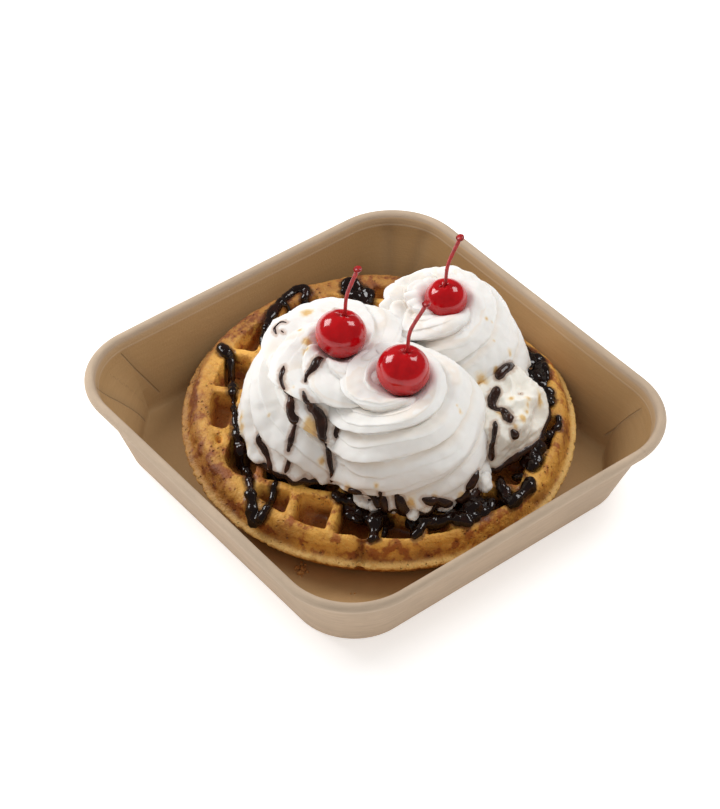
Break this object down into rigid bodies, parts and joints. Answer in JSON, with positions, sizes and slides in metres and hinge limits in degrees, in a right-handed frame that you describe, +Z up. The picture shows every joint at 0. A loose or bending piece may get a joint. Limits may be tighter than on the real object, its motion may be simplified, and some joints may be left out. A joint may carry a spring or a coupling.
{
  "type": "waffle sundae",
  "caption": "Round waffle under whipped cream swirls, ice cream, drizzled chocolate and stemmed cherries, served in a square board tray with round corners and a rolled rim.",
  "frame": {"origin": "middle of the underside of the tray's base, on the surface that it stands on", "axes": "+Z up, +X and +Y along the tray's sides; the picture looks from between +X and -Y"},
  "size_m": [0.2, 0.2, 0.1142],
  "materials": {
    "kraft_board": "matte",
    "waffle_crust": "matte",
    "whipped_cream": "satin",
    "ice_cream": "satin",
    "cherry_red": "gloss"
  },
  "bodies": {
    "root": {"tray": "kraft_board", "waffle": "waffle_crust", "cream_front": "whipped_cream", "cream_left": "whipped_cream", "cream_back": "whipped_cream", "ice_cream": "ice_cream", "cherry_front": "cherry_red", "cherry_left": "cherry_red", "cherry_back": "cherry_red"}
  },
  "joints": []
}
